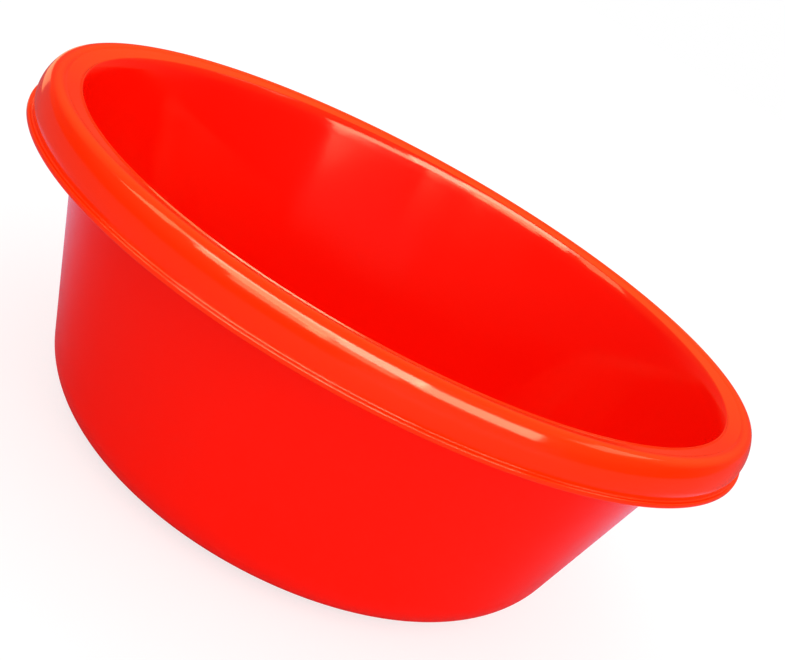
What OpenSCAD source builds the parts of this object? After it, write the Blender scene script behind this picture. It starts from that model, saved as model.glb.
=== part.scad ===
// Round washing up bowl, moulded in one piece.
// Its section is a chain of straights and bends, walked from the middle of the
// floor, up the wall and over the rim, and the shell is that line given one
// even wall, as in the moulding tool. Only the lip at the end is drawn round.
// Origin: middle of the foot, on the surface that the bowl stands on. +Z is up.

/* [Overall] */
// Diameter over the lip, the widest part of the bowl
lip_d = 360; // [320:1:420]
// Height from the foot to the top of the rim
bowl_h = 138.4; // [110:0.1:180]
// Thickness of the moulded wall
wall_t = 2.2; // [1.6:0.1:2.8]

/* [Body] */
// Lean of the side wall away from upright, in degrees
wall_lean = 14.8; // [8:0.1:20]
// Outside radius of the bend from the wall to the floor
corner_r = 36; // [20:1:48]
// Width of the flat ring that the bowl stands on, between the step and the bend
foot_w = 8; // [4:0.5:40]
// Height of the raised panel's underside above the foot
panel_rise = 2; // [0.8:0.1:3.5]
// Inside radius of the two bends of the step round the panel
step_r = 3; // [2:0.1:6]
// Diameter of the mark left by the moulding gate, under the middle of the floor
gate_d = 7; // [4:0.5:12]
// How far the gate mark stands down from the panel
gate_h = 0.5; // [0.3:0.1:0.7]

/* [Mouth and ledge] */
// Radius of the soft flare at the top of the inner wall
flare_r = 18; // [8:0.5:24]
// Angle above level at which the flare ends and the mouth's edge begins
flare_end = 60; // [35:1:66]
// Inside radius under the mouth's edge, between the flare and the ledge
edge_in_r = 0.4; // [0.3:0.1:2]
// Width of the ledge inside the crown, measured level
ledge_w = 5.2; // [3:0.1:10]
// Rise of the ledge towards the crown, in degrees
ledge_rise = 14; // [4:1:24]
// Radius of the groove where the ledge meets the crown
root_r = 0.8; // [0.5:0.1:2]

/* [Crown and skirt] */
// Angle above level at which the crown leaves the groove
crown_lead = 35; // [26:1:50]
// Radius over the top of the crown
crown_r = 4.4; // [3.2:0.1:6]
// Radius of the crown's outer flank
flank_r = 17.5; // [12:0.5:24]
// Angle above level of the radius line where crown and flank meet
flank_start = 31; // [20:1:40]
// Lean of the skirt inward below the widest line of the crown, in degrees
skirt_lean = 12; // [4:1:18]
// Length of the straight skirt between the flank and the lip
skirt_len = 1.1; // [0.4:0.1:12]

/* [Lip] */
// How far the lip stands out past the widest line of the crown
lip_out = 1.3; // [1:0.1:4]
// Thickness of the lip
lip_t = 2.2; // [1.6:0.1:3.2]
// Radius of the lip's two outer edges
lip_edge_r = 0.7; // [0.3:0.1:1.4]
// Radius of the groove between the skirt and the lip
lip_root_r = 0.6; // [0.3:0.1:0.8]

/* [Hidden] */
// Largest turn between two points of a bend, in degrees
bend_step = 6;
// Flat pieces that the turned surfaces are drawn with
turn_pieces = 180;

// A move is [length, 0] for a straight, or [radius, turn] for a bend, where a
// turn to the left is positive. h is the heading, in degrees above level.
function shift(m, h) = m[1] == 0
    ? m[0] * [cos(h), sin(h)]
    : sign(m[1]) * m[0] * [sin(h + m[1]) - sin(h), cos(h) - cos(h + m[1])];

// Where a chain of moves ends, seen from its start.
function reach(moves, h, i = 0) = i == len(moves)
    ? [0, 0]
    : shift(moves[i], h) + reach(moves, h + moves[i][1], i + 1);

// Stations [point, heading] along a chain of moves, its start and end included.
function walk(moves, p, h, i = 0) = i == len(moves)
    ? [[p, h]]
    : let (
        m = moves[i],
        parts = max(1, ceil(abs(m[1]) / bend_step))
    ) concat(
        [for (k = [0 : parts - 1]) let (part = [m[0], m[1] * k / parts])
            [k == 0 ? p : p + shift(part, h), h + part[1]]],
        walk(moves, p + shift(m, h), h + m[1], i + 1)
    );

function points(stations) = [for (s = stations) s[0]];

// The underside, one wall below or outside each station.
function backs(stations) = [for (s = stations) s[0] + wall_t * [sin(s[1]), -cos(s[1])]];

function reversed(list) = [for (i = [len(list) - 1 : -1 : 0]) list[i]];

// Step round the raised panel: two equal turns that together drop panel_rise.
step_sum = 2 * step_r + wall_t;
step_turn = acos(1 - panel_rise / step_sum);
step = [
    [step_r + wall_t, -step_turn],
    [step_r, step_turn]
];

// Bends from the floor to the wall, and from the wall to the top of the crown.
wall_up = 90 - wall_lean;
corner = [[corner_r - wall_t, wall_up]];
mouth = [
    [flare_r, flare_end - wall_up],
    [edge_in_r + wall_t, ledge_rise - flare_end],
    [ledge_w / cos(ledge_rise), 0],
    [root_r, crown_lead - ledge_rise],
    [crown_r, -crown_lead]
];

// Top of the crown, from the widest line of the rim inward.
widest_r = lip_d / 2 - lip_out;
crown_top = [
    widest_r - flank_r + (flank_r - crown_r) * cos(flank_start),
    bowl_h
];

// The wall's length makes up the height of the crown, and the panel's half width
// then makes up its radius.
floor_middle = [0, panel_rise + wall_t];
bends = reach(step, 0) + reach(corner, 0) + reach(mouth, wall_up);
wall_len = (crown_top.y - floor_middle.y - bends.y) / sin(wall_up);
panel_half = crown_top.x - bends.x - wall_len * cos(wall_up) - foot_w;

inner_face = concat(
    [[panel_half, 0]], step, [[foot_w, 0]], corner, [[wall_len, 0]], mouth
);

// Outside of the rim, from the top of the crown down to the groove over the lip.
outer_face = [
    [crown_r, flank_start - 90],
    [flank_r, -flank_start - skirt_lean],
    [skirt_len, 0]
];
down = -90 - skirt_lean;

shell = walk(concat(inner_face, outer_face), floor_middle, 0);
skirt_end = shell[len(shell) - 1][0];

// Outline of the lip: out of the groove, round both edges and back underneath.
lip_root = [[lip_root_r, -down]];
lip_start = skirt_end + reach(lip_root, down);
lip_z = lip_start.y - lip_t;
lip_round = min(lip_edge_r, lip_t / 2 - 0.1);
lip_reach = lip_d / 2 - lip_round - lip_start.x;
lip = concat(lip_root, [
    [lip_reach, 0],
    [lip_round, -90],
    [lip_t - 2 * lip_round, 0],
    [lip_round, -90]
]);
skirt_back = skirt_end + wall_t * [sin(down), -cos(down)];
lip_heel = [skirt_back.x - (skirt_back.y - lip_z) * tan(skirt_lean), lip_z];

gate_mark = [
    [gate_d / 2, panel_rise],
    [gate_d / 2, panel_rise - gate_h],
    [0, panel_rise - gate_h]
];

section = concat(
    points(shell),
    [for (s = walk(lip, skirt_end, down)) if (s[0] != skirt_end) s[0]],
    [lip_heel],
    [for (p = reversed(backs(shell))) if (p.x > gate_d / 2) p],
    gate_mark
);

module bowl() {
    color("#f4261a")
        rotate_extrude($fn = turn_pieces)
            polygon(section);
}

bowl();
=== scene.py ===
"""Round washing up bowl: one shell moulded in red polypropylene, on a pale studio floor.

The dataclasses hold real sizes in millimetres. Meshes, lamps and the camera are in
metres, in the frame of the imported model: +Z up, origin in the middle of the foot.
"""

import logging
from dataclasses import dataclass
from enum import Enum

import bpy
import numpy as np
from mathutils import Matrix, Quaternion, Vector


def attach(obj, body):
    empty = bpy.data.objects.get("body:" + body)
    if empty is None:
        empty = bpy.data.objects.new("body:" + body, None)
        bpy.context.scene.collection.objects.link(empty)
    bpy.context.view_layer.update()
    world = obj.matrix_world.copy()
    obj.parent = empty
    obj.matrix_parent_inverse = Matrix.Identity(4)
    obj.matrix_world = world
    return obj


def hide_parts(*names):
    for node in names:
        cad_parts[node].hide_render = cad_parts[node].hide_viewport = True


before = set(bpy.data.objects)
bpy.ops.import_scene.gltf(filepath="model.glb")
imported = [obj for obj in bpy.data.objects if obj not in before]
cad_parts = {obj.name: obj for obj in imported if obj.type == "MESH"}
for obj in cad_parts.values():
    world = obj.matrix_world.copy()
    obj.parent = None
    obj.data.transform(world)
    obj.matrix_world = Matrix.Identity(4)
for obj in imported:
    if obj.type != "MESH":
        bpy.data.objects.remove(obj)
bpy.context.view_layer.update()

LOG = logging.getLogger("washing_up_bowl")
MM = 0.001
IMAGE_W = 785
IMAGE_H = 660
WHITE = "#FFFFFF"
# Largest turn, in degrees, and longest straight, in millimetres, between two stations.
BEND_STEP = 3.0
STRAIGHT_STEP = 4.0
# Sockets of a Mix node that mixes colours: the factor, both colours and the result.
MIX_FACTOR, MIX_A, MIX_B, MIX_RESULT = 0, 6, 7, 2
Array = np.ndarray


def linear(colour: str) -> tuple[float, float, float, float]:
    """Turns an sRGB hex colour into linear values.

    Args:
        colour: Six hex digits after a hash sign, such as "#F22814".

    Returns:
        Linear red, green and blue with an alpha of 1.
    """
    srgb = np.array([int(colour[i : i + 2], 16) for i in (1, 3, 5)]) / 255
    low = srgb / 12.92
    high = ((srgb + 0.055) / 1.055) ** 2.4
    red, green, blue = np.where(srgb <= 0.04045, low, high)
    return float(red), float(green), float(blue), 1.0


class Reach(Enum):
    """What a lamp acts on: the plastic's own colour, or only its reflections."""

    COLOUR = "colour"
    REFLECTION = "reflection"


class Zone(Enum):
    """Parts of the mould's surface, each with its polish and two shares of tone.

    Polish goes from 0, grained, to 1, bright. The other two are 1 where the plastic
    has the inside's tone and the rim's tone, which are matched to the photograph. The
    rim's tone is painted light: the same plastic made lighter and more orange, as the
    rim's brightly lit top looks.
    """

    UNDERSIDE = (0.0, 0.0, 0.0)
    INSIDE = (0.85, 1.0, 0.0)
    MOUTH = (1.0, 1.0, 0.0)
    # A rim tone share of 1 paints light on the rim, as a lighter, more orange red.
    RIM = (1.0, 0.0, 1.0)


@dataclass(frozen=True)
class Move:
    """One piece of the section: a straight, or a bend where a left turn is positive.

    Attributes:
        size: Length of a straight or radius of a bend, in millimetres.
        turn: Angle of a bend in degrees, 0 for a straight.
        zone: The part of the mould's surface that this piece belongs to.
        trim: Whether it is fine trim, which the underside doesn't follow.
    """

    size: float
    turn: float = 0.0
    zone: Zone = Zone.INSIDE
    trim: bool = False

    def points(self, heading: float, share: Array) -> Array:
        """Points along the move, seen from its start.

        A straight is size times share along the heading. A bend is an arc of
        radius size, so each point is the difference of two directions on a circle.

        Args:
            heading: Direction at the start, in degrees above level.
            share: How far along the move each point lies, from 0 to 1.

        Returns:
            An array of shape (n, 2) with radius and height in millimetres.
        """
        start = np.radians(heading)
        if self.turn == 0:
            return self.size * share[:, None] * np.array([np.cos(start), np.sin(start)])
        now = start + np.radians(self.turn) * share
        side = np.sign(self.turn) * self.size
        return side * np.stack([np.sin(now) - np.sin(start), np.cos(start) - np.cos(now)], axis=1)

    def reach(self, heading: float) -> Array:
        """Where the move ends, seen from its start."""
        return self.points(heading, np.array([1.0]))[0]

    def share_steps(self, bend_step: float, straight_step: float) -> Array:
        """Shares at which the move is cut, its start included and its end left out.

        Args:
            bend_step: Largest turn between two points, in degrees.
            straight_step: Largest distance between two points, in millimetres.

        Returns:
            Rising shares from 0 to just under 1.
        """
        parts = abs(self.turn) / bend_step if self.turn else self.size / straight_step
        count = max(1, int(np.ceil(parts)))
        return np.arange(count) / count


@dataclass(frozen=True)
class Section:
    """Closed outline of the shell, as arrays along it.

    Attributes:
        points: Radius and height of each station, in millimetres.
        normals: Outward direction at each station.
        marks: Polish, inside tone and rim tone there, each from 0 to 1.
        trim: Whether the station is on fine trim.
    """

    points: Array
    normals: Array
    marks: Array
    trim: Array

    def part(self, keep: Array | slice) -> "Section":
        """The stations that are kept."""
        return Section(self.points[keep], self.normals[keep], self.marks[keep], self.trim[keep])

    def joined(self, other: "Section") -> "Section":
        """This outline followed by another one."""
        return Section(
            np.concatenate([self.points, other.points]),
            np.concatenate([self.normals, other.normals]),
            np.concatenate([self.marks, other.marks]),
            np.concatenate([self.trim, other.trim]),
        )

    def lengths(self) -> Array:
        """Distance of each station from the first, along the outline, in millimetres."""
        gaps = np.linalg.norm(np.diff(self.points, axis=0), axis=1)
        return np.concatenate([[0.0], np.cumsum(gaps)])


def walk(moves: list[Move], start: Array, heading: float, closed: bool = False) -> Section:
    """Stations along a chain of moves.

    Each station's normal is its heading turned left by a right angle.

    Args:
        moves: The chain.
        start: Radius and height of the first station, in millimetres.
        heading: Direction of the first move, in degrees above level.
        closed: Whether the end of the last move is a station too.

    Returns:
        The stations of the whole chain.
    """
    points, headings, marks, trim = [], [], [], []
    at = np.array(start, dtype=float)
    for index, move in enumerate(moves):
        share = move.share_steps(BEND_STEP, STRAIGHT_STEP)
        if closed and index == len(moves) - 1:
            share = np.append(share, 1.0)
        points.append(at + move.points(heading, share))
        headings.append(heading + move.turn * share)
        marks.append(np.tile(move.zone.value, (len(share), 1)))
        trim.append(np.full(len(share), move.trim))
        at = at + move.reach(heading)
        heading += move.turn
    turn = np.radians(np.concatenate(headings))
    normals = np.stack([-np.sin(turn), np.cos(turn)], axis=1)
    return Section(np.concatenate(points), normals, np.concatenate(marks), np.concatenate(trim))


def chain_reach(moves: list[Move], heading: float) -> Array:
    """Where a chain of moves ends, seen from its start."""
    total = np.zeros(2)
    for move in moves:
        total = total + move.reach(heading)
        heading += move.turn
    return total


def direction(heading: float) -> Array:
    """Unit vector for a heading in degrees above level."""
    return np.array([np.cos(np.radians(heading)), np.sin(np.radians(heading))])


@dataclass(frozen=True)
class Undulation:
    """Slow unevenness of a thin moulding, which makes its highlights waver.

    Attributes:
        depth: Largest distance that the surface moves, in millimetres.
        spare: How far the surface stays sunk at the least, as a share of half the
            waves' swing.
        waves: Whole numbers of waves round the bowl.
        falloff: Power of a wave's number by which finer waves are shallower.
        drift: Largest drift of a wave's phase, in radians per millimetre of height.
        seed: Seed of the waves' phases.
    """

    depth: float = 0.2
    spare: float = 0.2
    waves: tuple[int, ...] = (2, 3, 5, 8, 13, 21, 34)
    falloff: float = 0.5
    drift: float = 0.02
    seed: int = 7

    def at(self, angle: Array, height: Array) -> tuple[Array, Array]:
        """How far the surface sinks in, as a sum of cosines round the bowl, and its slope.

        Each cosine's phase also drifts with the height, so no wave runs straight
        down the wall. Finer waves are shallower. The surface never quite comes back
        out to where it was drawn. The slope is the sum's derivative by the angle.

        Args:
            angle: Angle round the bowl, in radians.
            height: Height above the foot, in millimetres.

        Returns:
            Depths from just over 0 to the largest, in millimetres, and millimetres
            per radian.
        """
        rng = np.random.default_rng(self.seed)
        count = np.array(self.waves)
        phase = rng.uniform(0, 2 * np.pi, len(count))
        drift = rng.uniform(-self.drift, self.drift, len(count))
        share = count**-self.falloff / np.sum(count**-self.falloff)
        turn = count * angle[..., None] + phase + drift * height[..., None]
        swing = 2 + self.spare
        sink = self.depth * (np.cos(turn) @ share + (1 + self.spare)) / swing
        slope = -self.depth * (np.sin(turn) @ (share * count)) / swing
        return sink, slope


@dataclass(frozen=True)
class PlasticFinish:
    """Injection moulded polypropylene, coloured through with a red masterbatch.

    It is opaque and a little waxy. The rim and the mouth mirror windows with soft
    edges, as off polished steel. The inside is duller, and the outside of the wall has
    only a satin sheen towards the outline, as off spark-grained steel. The finishes are
    judged from the photograph. The three tones and the strengths of the reflections
    are matched to it.

    Attributes:
        wall_colour: Colour of the plastic on the satin outside.
        inside_colour: Its colour inside.
        rim_painted_light_colour: Its colour on the rim, which is painted light: the same
        plastic made lighter and more orange, as the rim's brightly lit top looks.
        polished: Roughness of the polished rim and mouth.
        satin: Roughness of the outside and underside.
        polished_gloss: Strength of the reflections of the polished rim and mouth.
        satin_gloss: Their strength on the walls and floor, inside and outside, where the
            photograph shows hardly any.
        gloss_from: Polish above which the reflections gain strength.
        ior: Index of refraction of polypropylene.
        grain: Size of the spark grain, in millimetres, guessed and coarse enough to show.
        grain_depth: Depth of that grain, in millimetres.
        flow: Size of the soft unevenness left by the flow of the melt, in millimetres.
        flow_depth: Depth of that unevenness, in millimetres.
        flow_detail: Levels of finer noise in that unevenness.
        tooling: Spacing of the rings that turning leaves in a mould, in millimetres,
            guessed too.
        tooling_depth: Depth of those rings, in millimetres.
        fine_detail: Levels of finer noise in the rings and in the grain.
    """

    wall_colour: str = "#F70F00"
    inside_colour: str = "#FC0E00"
    # Painted light: the rim's tone is the same red made lighter and more orange.
    rim_painted_light_colour: str = "#FD2A00"
    polished: float = 0.10
    satin: float = 0.22
    polished_gloss: float = 0.5
    satin_gloss: float = 0.15
    gloss_from: float = 0.85
    ior: float = 1.49
    grain: float = 0.6
    grain_depth: float = 0.02
    flow: float = 30.0
    flow_depth: float = 0.15
    flow_detail: float = 2.0
    tooling: float = 1.4
    tooling_depth: float = 0.004
    fine_detail: float = 1.0

    def build(self) -> bpy.types.Material:
        """Makes the material.

        Returns:
            A Principled material that reads Object coordinates and the piece's UV
            map and "polish", "inside" and "rim" attributes.
        """
        material = bpy.data.materials.new("moulded_polypropylene")
        material.use_nodes = True
        tree = material.node_tree
        tree.nodes.clear()
        coords = add_node(tree, "ShaderNodeTexCoord")
        polish = add_node(tree, "ShaderNodeAttribute", {"attribute_name": "polish"})
        inside = add_node(tree, "ShaderNodeAttribute", {"attribute_name": "inside"})
        rim = add_node(tree, "ShaderNodeAttribute", {"attribute_name": "rim"})
        shader = add_node(
            tree,
            "ShaderNodeBsdfPrincipled",
            {},
            {
                "Base Color": self.colour(tree, inside.outputs["Fac"], rim.outputs["Fac"]),
                "Roughness": self.by_polish(tree, polish.outputs["Fac"], 0.0, self.satin, self.polished),
                "IOR": self.ior,
                "Specular IOR Level": self.by_polish(
                    tree, polish.outputs["Fac"], self.gloss_from, self.satin_gloss, self.polished_gloss
                ),
                "Normal": self.relief(tree, coords, polish.outputs["Fac"]),
            },
        )
        add_node(tree, "ShaderNodeOutputMaterial", {}, {"Surface": shader.outputs["BSDF"]})
        return material

    def colour(
        self, tree: bpy.types.NodeTree, inside: bpy.types.NodeSocket, rim: bpy.types.NodeSocket
    ) -> bpy.types.NodeSocket:
        """Mixes the wall's colour to the inside's, and on to the rim's, which is painted light.

        Args:
            tree: The material's nodes.
            inside: Share of the inside's tone, from 0 to 1.
            rim: Share of the rim's painted light tone, from 0 to 1.

        Returns:
            The output that holds the colour.
        """
        body = add_node(
            tree,
            "ShaderNodeMix",
            {"data_type": "RGBA"},
            {
                MIX_FACTOR: inside,
                MIX_A: linear(self.wall_colour),
                MIX_B: linear(self.inside_colour),
            },
        )
        # Painted light: this mix lightens the rim to the rim's tone.
        whole = add_node(
            tree,
            "ShaderNodeMix",
            {"data_type": "RGBA"},
            {
                MIX_FACTOR: rim,
                MIX_A: body.outputs[MIX_RESULT],
                MIX_B: linear(self.rim_painted_light_colour),
            },
        )
        return whole.outputs[MIX_RESULT]

    @staticmethod
    def by_polish(
        tree: bpy.types.NodeTree, polish: bpy.types.NodeSocket, start: float, dull: float, bright: float
    ) -> bpy.types.NodeSocket:
        """A value that goes from dull to bright as the polish goes from the start to 1.

        Args:
            tree: The material's nodes.
            polish: Polish of the mould, from 0 to 1.
            start: Polish up to which the value stays dull.
            dull: The value there.
            bright: The value at full polish.

        Returns:
            The output that holds the value.
        """
        spread = add_node(
            tree,
            "ShaderNodeMapRange",
            {},
            {"Value": polish, "From Min": start, "To Min": dull, "To Max": bright},
        )
        return spread.outputs["Result"]

    def relief(
        self, tree: bpy.types.NodeTree, coords: bpy.types.Node, polish: bpy.types.NodeSocket
    ) -> bpy.types.NodeSocket:
        """Bumps for the flow of the melt, the rings of the turned mould and its grain.

        The rings are a noise in one dimension along the section, which the UV map's
        second value measures in metres.

        Args:
            tree: The material's nodes.
            coords: The Texture Coordinate node.
            polish: Polish of the mould, from 0 to 1.

        Returns:
            The output that holds the bumped normal.
        """
        flow = add_node(
            tree,
            "ShaderNodeTexNoise",
            {},
            {
                "Vector": coords.outputs["Object"],
                "Scale": 1 / (self.flow * MM),
                "Detail": self.flow_detail,
            },
        )
        along = add_node(tree, "ShaderNodeSeparateXYZ", {}, {0: coords.outputs["UV"]})
        rings = add_node(
            tree,
            "ShaderNodeTexNoise",
            {"noise_dimensions": "1D"},
            {
                "W": along.outputs["Y"],
                "Scale": 1 / (self.tooling * MM),
                "Detail": self.fine_detail,
            },
        )
        grain = add_node(
            tree,
            "ShaderNodeTexNoise",
            {},
            {
                "Vector": coords.outputs["Object"],
                "Scale": 1 / (self.grain * MM),
                "Detail": self.fine_detail,
            },
        )
        dull = add_node(tree, "ShaderNodeMath", {"operation": "SUBTRACT"}, {0: 1.0, 1: polish})
        speckle = add_node(
            tree,
            "ShaderNodeMath",
            {"operation": "MULTIPLY"},
            {0: grain.outputs["Fac"], 1: dull.outputs[0]},
        )
        normal = None
        for height, depth in (
            (flow.outputs["Fac"], self.flow_depth),
            (rings.outputs["Fac"], self.tooling_depth),
            (speckle.outputs[0], self.grain_depth),
        ):
            links = {"Height": height, "Distance": depth * MM}
            if normal is not None:
                links["Normal"] = normal
            normal = add_node(tree, "ShaderNodeBump", {}, links).outputs["Normal"]
        return normal


def add_node(
    tree: bpy.types.NodeTree,
    kind: str,
    settings: dict[str, object] | None = None,
    links: dict[str | int, object] | None = None,
) -> bpy.types.Node:
    """Adds a node, sets its properties and fills its inputs.

    Args:
        tree: The node tree.
        kind: Blender's name of the node type.
        settings: Properties of the node itself.
        links: Input name or number to a value, or to the output that feeds it.

    Returns:
        The new node.
    """
    node = tree.nodes.new(kind)
    for name, value in (settings or {}).items():
        setattr(node, name, value)
    for name, value in (links or {}).items():
        if isinstance(value, bpy.types.NodeSocket):
            tree.links.new(value, node.inputs[name])
        else:
            node.inputs[name].default_value = value
    return node


@dataclass(frozen=True)
class Bowl:
    """The moulded bowl, with the sizes of its section in millimetres and degrees.

    Attributes:
        lip_d: Diameter over the lip.
        height: Height from the foot to the top of the rim.
        wall: Thickness of the wall.
        wall_lean: Lean of the side wall away from upright.
        corner_r: Outside radius of the bend from the wall to the floor.
        foot_w: Width of the flat ring that the bowl stands on.
        panel_rise: Height of the raised panel's underside above the foot.
        step_r: Inside radius of the bends of the step round the panel.
        gate_d: Diameter of the mark of the moulding gate under the floor.
        gate_h: How far the gate mark stands down.
        gate_edge_r: Radius of the gate mark's edges.
        flare_r: Radius of the soft flare at the top of the inner wall.
        flare_end: Heading at which the flare ends and the mouth's edge begins.
        edge_r: Radius of the mouth's edge, on both sides of its fine step.
        crest_r: Radius over that step, which is left where two parts of the mould meet.
        crest_face: Width of the step's outer face.
        crest_fall: Angle at which that face falls below level.
        crest_root_r: Radius at the foot of the step.
        ledge_w: Level width of the ledge inside the crown.
        ledge_rise: Rise of the ledge towards the crown.
        root_r: Radius of the groove where the ledge meets the crown.
        crown_lead: Heading at which the crown leaves the groove.
        crown_r: Radius over the top of the crown.
        flank_r: Radius of the crown's outer flank.
        flank_start: Angle above level of the radius where crown and flank meet.
        skirt_lean: Lean of the skirt inward.
        skirt_len: Length of the straight skirt.
        lip_out: How far the lip stands out past the widest line of the crown.
        lip_t: Thickness of the lip.
        lip_edge_r: Radius of the lip's two outer edges.
        lip_root_r: Radius of the groove between the skirt and the lip.
        heel_r: Radius of the bead at the lip's inner bottom edge.
        turn_steps: Number of faces round the bowl.
    """

    lip_d: float = 360.0
    height: float = 138.4
    wall: float = 2.2
    wall_lean: float = 14.8
    corner_r: float = 36.0
    foot_w: float = 8.0
    panel_rise: float = 2.0
    step_r: float = 3.0
    gate_d: float = 7.0
    gate_h: float = 0.5
    gate_edge_r: float = 0.15
    flare_r: float = 18.0
    flare_end: float = 60.0
    edge_r: float = 1.6
    crest_r: float = 0.2
    crest_face: float = 0.45
    crest_fall: float = 55.0
    crest_root_r: float = 0.1
    ledge_w: float = 5.2
    ledge_rise: float = 14.0
    root_r: float = 0.8
    crown_lead: float = 35.0
    crown_r: float = 4.4
    flank_r: float = 17.5
    flank_start: float = 31.0
    skirt_lean: float = 12.0
    skirt_len: float = 1.1
    lip_out: float = 1.3
    lip_t: float = 2.2
    lip_edge_r: float = 0.7
    lip_root_r: float = 0.6
    heel_r: float = 0.3
    turn_steps: int = 360

    def step(self) -> list[Move]:
        """The two equal bends that take the floor down from the panel to the foot."""
        turn = np.degrees(np.arccos(1 - self.panel_rise / (2 * self.step_r + self.wall)))
        return [Move(self.step_r + self.wall, -turn), Move(self.step_r, turn)]

    def mouth(self) -> list[Move]:
        """The flare, the mouth's edge, the ledge, its groove and the crown's inner side."""
        rise = self.ledge_rise
        half = (rise - self.flare_end) / 2
        middle = self.flare_end + half
        return [
            Move(self.flare_r, self.flare_end - (90 - self.wall_lean), Zone.MOUTH),
            Move(self.edge_r, half, Zone.MOUTH, trim=True),
            Move(self.crest_r, -self.crest_fall - middle, Zone.RIM, trim=True),
            Move(self.crest_face, 0, Zone.RIM, trim=True),
            Move(self.crest_root_r, self.crest_fall + middle, Zone.RIM, trim=True),
            Move(self.edge_r, half, Zone.RIM, trim=True),
            Move(self.ledge_w / np.cos(np.radians(rise)), 0, Zone.RIM),
            Move(self.root_r, self.crown_lead - rise, Zone.RIM),
            Move(self.crown_r, -self.crown_lead, Zone.RIM),
        ]

    def flank(self) -> list[Move]:
        """The outside of the rim, from the top of the crown down to the lip's groove."""
        return [
            Move(self.crown_r, self.flank_start - 90, Zone.RIM),
            Move(self.flank_r, -self.flank_start - self.skirt_lean, Zone.RIM),
            Move(self.skirt_len, 0, Zone.RIM),
        ]

    def crown_top(self) -> Array:
        """Radius and height of the top of the crown, from the rim's widest line inward."""
        widest = self.lip_d / 2 - self.lip_out
        inward = (self.flank_r - self.crown_r) * np.cos(np.radians(self.flank_start))
        return np.array([widest - self.flank_r + inward, self.height])

    def face_moves(self) -> list[Move]:
        """The whole upper face from the middle of the floor to the lip's groove.

        The wall's length makes up the height of the crown, and the panel's half
        width then makes up its radius.
        """
        up = 90 - self.wall_lean
        step, mouth = self.step(), self.mouth()
        corner = [Move(self.corner_r - self.wall, up)]
        bends = chain_reach(step, 0) + chain_reach(corner, 0) + chain_reach(mouth, up)
        left = self.crown_top() - bends - np.array([self.foot_w, self.panel_rise + self.wall])
        wall_len = left[1] / np.sin(np.radians(up))
        panel_half = left[0] - wall_len * np.cos(np.radians(up))
        floor = [Move(panel_half)] + step + [Move(self.foot_w)]
        return floor + corner + [Move(wall_len)] + mouth + self.flank()

    def section(self) -> Section:
        """The closed outline, from the middle of the floor's top round to the middle below.

        The upper face is walked first, then the lip's outline with its groove and
        two rounded edges. The underside is the upper face set off by one wall and
        walked back without the fine trim, and the gate mark stands down from its middle.

        Returns:
            Stations that start and end on the axis.
        """
        down = -90 - self.skirt_lean
        face = walk(self.face_moves(), np.array([0.0, self.panel_rise + self.wall]), 0, closed=True)
        skirt_end = face.points[-1]
        root = Move(self.lip_root_r, -down, Zone.RIM)
        lip_start = skirt_end + root.reach(down)
        flat = self.lip_d / 2 - self.lip_edge_r - lip_start[0]
        lip_z = lip_start[1] - self.lip_t
        back_end = skirt_end - self.wall * face.normals[-1]
        slope = direction(down)
        heel = back_end + slope * ((lip_z - back_end[1]) / slope[1])
        # Known fault: this bend turns 258 degrees instead of 102. It leaves a bead 0.6 mm
        # wide with a notch above it on the lip's hidden inner edge, where a plain round was
        # meant. Setting it to "down" would mend that.
        heel_turn = -360 - down
        tangent = self.heel_r * np.tan(np.radians(-heel_turn / 2))
        bottom = self.lip_d / 2 - self.lip_edge_r - heel[0] - tangent
        rise = np.linalg.norm(heel - back_end) - tangent
        lip = walk(
            [
                root,
                Move(flat, 0, Zone.RIM),
                Move(self.lip_edge_r, -90, Zone.RIM),
                Move(self.lip_t - 2 * self.lip_edge_r, 0, Zone.RIM),
                Move(self.lip_edge_r, -90, Zone.RIM),
                Move(bottom, 0, Zone.RIM),
                Move(self.heel_r, heel_turn, Zone.UNDERSIDE),
                Move(rise, 0, Zone.UNDERSIDE),
            ],
            skirt_end,
            down,
        )
        under = face.points - self.wall * face.normals
        keep = (under[:, 0] > self.gate_d / 2 + self.gate_edge_r) & ~face.trim
        marks = np.tile(Zone.UNDERSIDE.value, (len(under), 1))
        back = Section(under, -face.normals, marks, face.trim).part(keep).part(slice(None, None, -1))
        edge = self.gate_edge_r
        gate = walk(
            [
                Move(edge, 90, Zone.UNDERSIDE),
                Move(self.gate_h - 2 * edge, 0, Zone.UNDERSIDE),
                Move(edge, -90, Zone.UNDERSIDE),
                Move(self.gate_d / 2 - edge, 0, Zone.UNDERSIDE),
            ],
            np.array([self.gate_d / 2 + edge, self.panel_rise]),
            180,
            closed=True,
        )
        return face.part(slice(None, -1)).joined(lip).joined(back).joined(gate)

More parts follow.
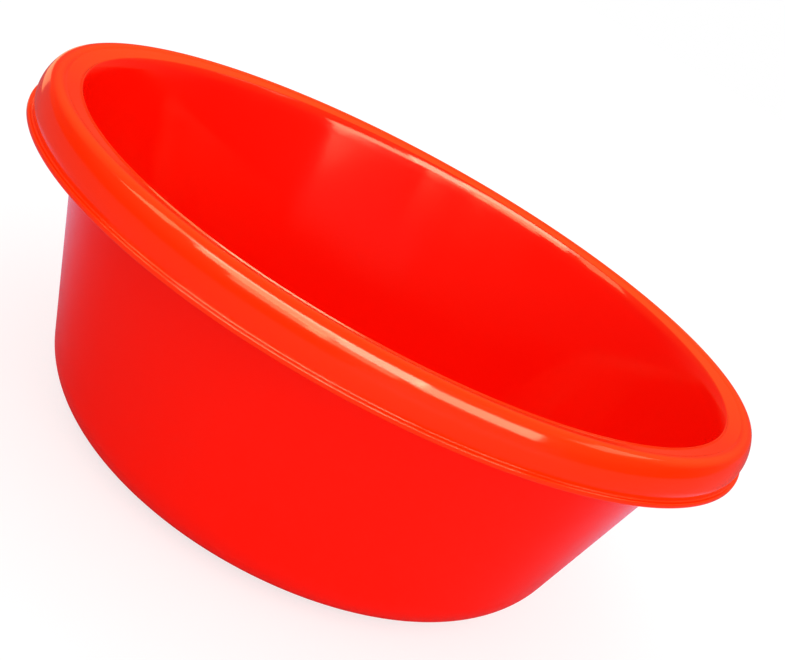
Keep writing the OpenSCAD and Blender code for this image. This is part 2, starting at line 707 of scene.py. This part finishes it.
    def mesh(self, unevenness: Undulation) -> bpy.types.Mesh:
        """The shell as a turned surface.

        A point is (r cos a, r sin a, z), with r and z from the section and a the
        angle round the bowl. The surface then sinks in by the unevenness, and each
        end of the section is one point on the axis. A normal is the section's normal
        turned to the angle a, leaned round the bowl by the slope of the unevenness.

        Args:
            unevenness: The slow waves of the moulding.

        Returns:
            A closed mesh in metres, with a UV map and "polish", "inside" and "rim" attributes.
        """
        section = self.section()
        ring = section.points[1:-1]
        lean = section.normals[1:-1, 0:1]
        rings, steps = len(ring), self.turn_steps
        angle = np.arange(steps)[None, :] * 2 * np.pi / steps
        sink, slope = unevenness.at(angle, ring[:, 1:2])
        fade = np.abs(lean) * ring[:, 1:2].clip(0) / self.height
        radius = ring[:, 0:1] - sink * fade
        around = lean * slope * fade / ring[:, 0:1]
        rise = np.broadcast_to(ring[:, 1:2], radius.shape)
        up = np.broadcast_to(section.normals[1:-1, 1:2], radius.shape)
        grid = np.stack([radius * np.cos(angle), radius * np.sin(angle), rise], axis=2)
        turned = np.stack(
            [
                lean * np.cos(angle) - around * np.sin(angle),
                lean * np.sin(angle) + around * np.cos(angle),
                up,
            ],
            axis=2,
        )
        poles = np.array([[0, 0, section.points[0, 1]], [0, 0, section.points[-1, 1]]])
        vertices = np.concatenate([grid.reshape(-1, 3), poles]) * MM
        normals = np.concatenate([turned.reshape(-1, 3), [[0, 0, 1], [0, 0, -1]]])
        normals /= np.linalg.norm(normals, axis=1, keepdims=True)

        row = np.arange(rings - 1)[:, None] * steps
        here = np.arange(steps)
        onward = (here + 1) % steps
        quads = np.stack(
            [row + here + steps, row + onward + steps, row + onward, row + here], axis=2
        ).reshape(-1, 4)
        top, under = rings * steps, rings * steps + 1
        last = (rings - 1) * steps
        top_fan = np.stack([here, onward, np.full(steps, top)], axis=1)
        under_fan = np.stack([last + onward, last + here, np.full(steps, under)], axis=1)

        mesh = bpy.data.meshes.new("moulded_bowl")
        mesh.from_pydata(vertices.tolist(), [], quads.tolist() + top_fan.tolist() + under_fan.tolist())
        mesh.polygons.foreach_set("use_smooth", np.ones(len(mesh.polygons), dtype=bool))
        self.map_uv(mesh, section.lengths(), steps)
        marks = np.concatenate([np.repeat(section.marks[1:-1], steps, axis=0), section.marks[[0, -1]]])
        # The "rim" attribute is the share of the rim's painted light tone.
        for column, name in enumerate(("polish", "inside", "rim")):
            values = mesh.attributes.new(name, "FLOAT", "POINT").data
            values.foreach_set("value", marks[:, column].astype(np.float32))
        mesh.update()
        mesh.normals_split_custom_set_from_vertices(normals.tolist())
        return mesh

    @staticmethod
    def map_uv(mesh: bpy.types.Mesh, lengths: Array, steps: int) -> None:
        """Lays the UV map: turns round the bowl across, and metres along the section up.

        Args:
            mesh: The shell, whose faces are its quads and then its two fans.
            lengths: Distance of each station along the section, in millimetres.
            steps: Number of faces round the bowl.
        """
        here = np.arange(steps) / steps
        there = here + 1 / steps
        inner, outer = lengths[1:-2, None], lengths[2:-1, None]
        wide = np.broadcast_to(np.stack([here, there, there, here], axis=1), (len(inner), steps, 4))
        tall = np.broadcast_to(
            np.stack([outer, outer, inner, inner], axis=2), (len(inner), steps, 4)
        )
        quads = np.stack([wide, tall * MM], axis=3).reshape(-1, 2)
        middle = (here + there) / 2
        first, second = (np.full(steps, length * MM) for length in lengths[:2])
        before, last = (np.full(steps, length * MM) for length in lengths[-2:])
        top = np.stack([here, second, there, second, middle, first], axis=1)
        low = np.stack([there, before, here, before, middle, last], axis=1)
        uv = np.concatenate([quads, top.reshape(-1, 2), low.reshape(-1, 2)])
        mesh.uv_layers.new(name="around_and_along").data.foreach_set("uv", uv.ravel().astype(np.float32))

    def build(self, finish: PlasticFinish, unevenness: Undulation) -> bpy.types.Object:
        """Makes the piece, dresses it and puts it in the place of the CAD node.

        Args:
            finish: The plastic.
            unevenness: The slow waves of the moulding.

        Returns:
            The piece.
        """
        piece = bpy.data.objects.new("moulded_bowl", self.mesh(unevenness))
        bpy.context.scene.collection.objects.link(piece)
        piece.data.materials.append(finish.build())
        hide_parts("bowl")
        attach(piece, "root")
        return piece


@dataclass(frozen=True)
class SoftBox:
    """A rectangular lamp that faces a point of the bowl.

    Attributes:
        name: Name of the lamp.
        azimuth: Side that it stands on, in degrees; 0 is the front and 90 the right.
        elevation: Height above level seen from the aim, in degrees.
        distance: Distance from the aim, in millimetres.
        width: Level width, in millimetres.
        depth: Size across the width, in millimetres.
        level: Brightness of its face, where white paper in plain light is 1.
        reach: Whether it lights the colour or shows in reflections.
        colour: Colour of its light.
        tilt: Turn of its face, in degrees, where a positive one lowers its right side.
        aim: The point that it faces, in millimetres.
    """

    name: str
    azimuth: float
    elevation: float
    distance: float
    width: float
    depth: float
    level: float
    reach: Reach
    colour: str = WHITE
    tilt: float = 0.0
    aim: tuple[float, float, float] = (0.0, -170.0, 130.0)

    def build(self) -> bpy.types.Object:
        """Makes the lamp.

        Returns:
            The lamp, which the camera doesn't see.
        """
        data = bpy.data.lights.new(self.name, "AREA")
        data.shape = "RECTANGLE"
        data.size = self.width * MM
        data.size_y = self.depth * MM
        data.energy = self.level * np.pi * self.width * self.depth * MM**2
        data.color = linear(self.colour)[:3]
        lamp = bpy.data.objects.new(self.name, data)
        bpy.context.scene.collection.objects.link(lamp)
        side, lift = np.radians(self.azimuth), np.radians(self.elevation)
        away = Vector((np.sin(side) * np.cos(lift), -np.cos(side) * np.cos(lift), np.sin(lift)))
        lamp.location = Vector(self.aim) * MM + away * self.distance * MM
        face = away.to_track_quat("Z", "Y") @ Quaternion((0, 0, 1), -np.radians(self.tilt))
        lamp.rotation_euler = face.to_euler()
        lamp.visible_diffuse = self.reach is Reach.COLOUR
        lamp.visible_glossy = self.reach is Reach.REFLECTION
        lamp.visible_camera = False
        return lamp


@dataclass(frozen=True)
class Studio:
    """The pale floor, the white surroundings, the soft lamps and what the gloss mirrors.

    Attributes:
        floor_half: Half width of the floor, in millimetres.
        floor_colour: Colour of the floor as it lights the bowl.
        floor_seen: Its colour to the camera, to which the lift is added.
        floor_lift: Light that only the camera sees on the floor, so that it is white.
        floor_mirrored: Colour of the floor as the bowl mirrors it.
        sheet_mirrored: Colour that the bowl mirrors of the sheet behind it.
        sheet_reach: Distance from the bowl's middle at which that sheet ends, in millimetres.
        sheet_fade: Share of that distance at which it begins to fade.
        sheet_front: Depth at which the sheet begins, in millimetres behind the middle.
        sheet_back: Depth from which it is whole, in millimetres behind the middle.
        surround_level: Level of the light from all round.
        mirrored_level: Level of the surroundings as the bowl mirrors them.
        mirrored_front: Their colour low in front, under the windows.
        mirrored_behind: Their colour low behind.
        mirrored_high: Their colour overhead.
        high_from: Height above level at which that colour begins, in degrees.
        high_to: Height above level from which it is whole, in degrees.
        behind_from: Part of a direction that points back, from which the colour behind
            begins to show.
        behind_to: That part, from which it is whole.
        far: Distance of the windows and of the side walls, in millimetres.
    """

    floor_half: float = 30000.0
    floor_colour: str = "#E9E9E9"
    floor_seen: str = "#A0A0A0"
    floor_lift: float = 0.72
    floor_mirrored: str = "#BE686A"
    sheet_mirrored: str = "#E4DEFF"
    sheet_reach: float = 450.0
    sheet_fade: float = 0.7
    sheet_front: float = -100.0
    sheet_back: float = 150.0
    surround_level: float = 0.88
    mirrored_level: float = 1.2
    mirrored_front: str = "#E60800"
    mirrored_behind: str = "#FF5A40"
    mirrored_high: str = "#FFBC59"
    high_from: float = 10.0
    high_to: float = 45.0
    behind_from: float = 0.2
    behind_to: float = 0.7
    far: float = 3000.0

    def lamps(self) -> list[SoftBox]:
        """The lamps: two for the colour, then the windows and walls that the gloss mirrors."""
        far, show = self.far, Reach.REFLECTION
        return [
            SoftBox("soft_key", 20, 50, 1500, 1600, 1200, 0.7, Reach.COLOUR),
            SoftBox("low_fill", 30, 4, 1500, 1800, 700, 2.6, Reach.COLOUR),
            SoftBox("window_left", -34, 42, far, 2250, 1230, 9.0, show, "#FFDFA8"),
            SoftBox("window_left_top", -38, 46.5, far, 2400, 630, 5.5, show, "#FFEDD4"),
            SoftBox("window_left_foot", -26, 26.5, far, 1500, 480, 5.0, show, "#FFDDA0"),
            SoftBox("window_middle", 7, 37.5, far, 1275, 1000, 14.0, show, "#FFE4BC", tilt=12),
            SoftBox("window_middle_foot", -2, 24.5, far, 1400, 330, 4.5, show, "#FFD9A0", tilt=8),
            SoftBox("window_right", 38, 27.5, far, 1920, 800, 9.5, show, "#FFE0B0", tilt=14),
            SoftBox("wall_left", -80, 40, far, 1058, 1166, 4.6, show, "#FFDB97"),
            SoftBox("wall_right", 108, 43, far, 1777, 630, 2.4, show, "#FFD5A8"),
            SoftBox("wall_behind", -140, -5, 650, 290, 140, 1.1, show, "#FFBC7C", aim=(-150, 60, 130)),
        ]

    def floor_tone(self, tree: bpy.types.NodeTree, path: bpy.types.Node) -> bpy.types.NodeSocket:
        """Colour of the floor: one for light, one for the camera, two for the gloss.

        The mirrored colour goes from the floor's to the sheet's by the distance from
        the bowl's middle and from front to back.

        Args:
            tree: The floor material's nodes.
            path: Its Light Path node.

        Returns:
            The output that holds the colour.
        """
        place = add_node(tree, "ShaderNodeTexCoord").outputs["Object"]
        distance = add_node(tree, "ShaderNodeVectorMath", {"operation": "LENGTH"}, {0: place})
        near = add_node(
            tree,
            "ShaderNodeMapRange",
            {"interpolation_type": "SMOOTHSTEP"},
            {
                "Value": distance.outputs["Value"],
                "From Min": self.sheet_reach * self.sheet_fade * MM,
                "From Max": self.sheet_reach * MM,
                "To Min": 1.0,
                "To Max": 0.0,
            },
        )
        depth = add_node(tree, "ShaderNodeSeparateXYZ", {}, {0: place})
        back = add_node(
            tree,
            "ShaderNodeMapRange",
            {"interpolation_type": "SMOOTHSTEP"},
            {
                "Value": depth.outputs["Y"],
                "From Min": self.sheet_front * MM,
                "From Max": self.sheet_back * MM,
            },
        )
        sheet = add_node(
            tree, "ShaderNodeMath", {"operation": "MULTIPLY"}, {0: near.outputs[0], 1: back.outputs[0]}
        )
        mirrored = add_node(
            tree,
            "ShaderNodeMix",
            {"data_type": "RGBA"},
            {
                MIX_FACTOR: sheet.outputs[0],
                MIX_A: linear(self.floor_mirrored),
                MIX_B: linear(self.sheet_mirrored),
            },
        )
        plain = add_node(
            tree,
            "ShaderNodeMix",
            {"data_type": "RGBA"},
            {
                MIX_FACTOR: path.outputs["Is Camera Ray"],
                MIX_A: linear(self.floor_colour),
                MIX_B: linear(self.floor_seen),
            },
        )
        tone = add_node(
            tree,
            "ShaderNodeMix",
            {"data_type": "RGBA"},
            {
                MIX_FACTOR: path.outputs["Is Glossy Ray"],
                MIX_A: plain.outputs[MIX_RESULT],
                MIX_B: mirrored.outputs[MIX_RESULT],
            },
        )
        return tone.outputs[MIX_RESULT]

    def build_floor(self) -> bpy.types.Object:
        """Makes the floor, which keeps the bowl's shadow."""
        half = self.floor_half * MM
        mesh = bpy.data.meshes.new("studio_floor")
        corners = [(-half, -half, 0), (half, -half, 0), (half, half, 0), (-half, half, 0)]
        mesh.from_pydata(corners, [], [(0, 1, 2, 3)])
        material = bpy.data.materials.new("studio_paper")
        material.use_nodes = True
        tree = material.node_tree
        tree.nodes.clear()
        path = add_node(tree, "ShaderNodeLightPath")
        paper = add_node(tree, "ShaderNodeBsdfDiffuse", {}, {"Color": self.floor_tone(tree, path)})
        level = add_node(
            tree,
            "ShaderNodeMath",
            {"operation": "MULTIPLY"},
            {0: path.outputs["Is Camera Ray"], 1: self.floor_lift},
        )
        lift = add_node(
            tree, "ShaderNodeEmission", {}, {"Color": linear(WHITE), "Strength": level.outputs[0]}
        )
        both = add_node(tree, "ShaderNodeAddShader", {}, {0: paper.outputs[0], 1: lift.outputs[0]})
        add_node(tree, "ShaderNodeOutputMaterial", {}, {"Surface": both.outputs[0]})
        mesh.materials.append(material)
        floor = bpy.data.objects.new("studio_floor", mesh)
        bpy.context.scene.collection.objects.link(floor)
        return floor

    def build_surround(self) -> None:
        """Makes the world: white where it is seen, and a plain level where it lights.

        What the bowl mirrors of it is the tones of a warm room, matched to the
        photograph's reflections: darkest low in front, and palest overhead.
        """
        world = bpy.data.worlds.new("studio_surround")
        bpy.context.scene.world = world
        # Off, so that only rays scattered by a surface find the world and their kind picks
        # its tone. Rough gloss still takes some of the plain light.
        world.cycles.sampling_method = "NONE"
        world.use_nodes = True
        tree = world.node_tree
        tree.nodes.clear()
        path = add_node(tree, "ShaderNodeLightPath")
        seen = add_node(
            tree,
            "ShaderNodeMath",
            {"operation": "MAXIMUM"},
            {0: path.outputs["Is Camera Ray"], 1: path.outputs["Is Transmission Ray"]},
        )
        light = add_node(
            tree, "ShaderNodeBackground", {}, {"Color": linear(WHITE), "Strength": self.surround_level}
        )
        coords = add_node(tree, "ShaderNodeTexCoord")
        heading = add_node(tree, "ShaderNodeSeparateXYZ", {}, {0: coords.outputs["Generated"]})
        high = add_node(
            tree,
            "ShaderNodeMapRange",
            {},
            {
                "Value": heading.outputs["Z"],
                "From Min": float(np.sin(np.radians(self.high_from))),
                "From Max": float(np.sin(np.radians(self.high_to))),
            },
        )
        behind = add_node(
            tree,
            "ShaderNodeMapRange",
            {},
            {
                "Value": heading.outputs["Y"],
                "From Min": self.behind_from,
                "From Max": self.behind_to,
            },
        )
        low = add_node(
            tree,
            "ShaderNodeMix",
            {"data_type": "RGBA"},
            {
                MIX_FACTOR: behind.outputs[0],
                MIX_A: linear(self.mirrored_front),
                MIX_B: linear(self.mirrored_behind),
            },
        )
        tone = add_node(
            tree,
            "ShaderNodeMix",
            {"data_type": "RGBA"},
            {
                MIX_FACTOR: high.outputs[0],
                MIX_A: low.outputs[MIX_RESULT],
                MIX_B: linear(self.mirrored_high),
            },
        )
        mirrored = add_node(
            tree,
            "ShaderNodeBackground",
            {},
            {"Color": tone.outputs[MIX_RESULT], "Strength": self.mirrored_level},
        )
        white = add_node(tree, "ShaderNodeBackground", {}, {"Color": linear(WHITE), "Strength": 1.0})
        lit = add_node(
            tree,
            "ShaderNodeMixShader",
            {},
            {0: path.outputs["Is Glossy Ray"], 1: light.outputs[0], 2: mirrored.outputs[0]},
        )
        shown = add_node(
            tree, "ShaderNodeMixShader", {}, {0: seen.outputs[0], 1: lit.outputs[0], 2: white.outputs[0]}
        )
        add_node(tree, "ShaderNodeOutputWorld", {}, {"Surface": shown.outputs[0]})

    def build(self) -> None:
        """Makes the floor, the surroundings and the lamps."""
        self.build_floor()
        self.build_surround()
        for box in self.lamps():
            box.build()
            LOG.info("lamp %s", box.name)


@dataclass(frozen=True)
class PhotoCamera:
    """The photograph's viewpoint, fitted to the bowl's outlines.

    Attributes:
        place: Where the camera stands, in millimetres.
        aim: The point on its optical axis, in millimetres.
        roll: Turn of the camera about that axis, in degrees.
        focal_px: Focal length in pixels of the photograph.
        centre_px: Pixel that the optical axis meets, because the photograph is cropped.
        sensor: Width of the sensor, in millimetres.
        clip: Nearest and farthest distance that is drawn, in metres.
    """

    place: tuple[float, float, float] = (0.0, -511.87, 262.66)
    aim: tuple[float, float, float] = (42.44, 0.0, 70.43)
    roll: float = 30.33
    focal_px: float = 1114.69
    centre_px: tuple[float, float] = (438.55, 390.9)
    sensor: float = 36.0
    clip: tuple[float, float] = (0.01, 100.0)

    def build(self) -> bpy.types.Object:
        """Makes the camera and gives it to the scene.

        Its level right and up axes are turned by the roll about the view.

        Returns:
            The camera.
        """
        data = bpy.data.cameras.new("photo_camera")
        data.sensor_fit = "HORIZONTAL"
        data.sensor_width = self.sensor
        data.lens = self.focal_px / IMAGE_W * self.sensor
        data.shift_x = (IMAGE_W / 2 - self.centre_px[0]) / IMAGE_W
        data.shift_y = (self.centre_px[1] - IMAGE_H / 2) / IMAGE_W
        data.clip_start, data.clip_end = self.clip
        camera = bpy.data.objects.new("photo_camera", data)
        bpy.context.scene.collection.objects.link(camera)
        ahead = (Vector(self.aim) - Vector(self.place)).normalized()
        level = ahead.cross(Vector((0, 0, 1))).normalized()
        upward = level.cross(ahead)
        turn = Matrix.Rotation(-np.radians(self.roll), 3, ahead)
        axes = Matrix((turn @ level, turn @ upward, -ahead)).transposed()
        camera.matrix_world = Matrix.Translation(Vector(self.place) * MM) @ axes.to_4x4()
        bpy.context.scene.camera = camera
        return camera


def main() -> None:
    """Builds the studio, the camera and the bowl."""
    logging.basicConfig(level=logging.INFO, format="%(name)s: %(message)s")
    bpy.context.scene.view_settings.view_transform = "Standard"
    PhotoCamera().build()
    Studio().build()
    piece = Bowl().build(PlasticFinish(), Undulation())
    LOG.info("piece %s with %d faces", piece.name, len(piece.data.polygons))


if __name__ == "__main__":
    main()
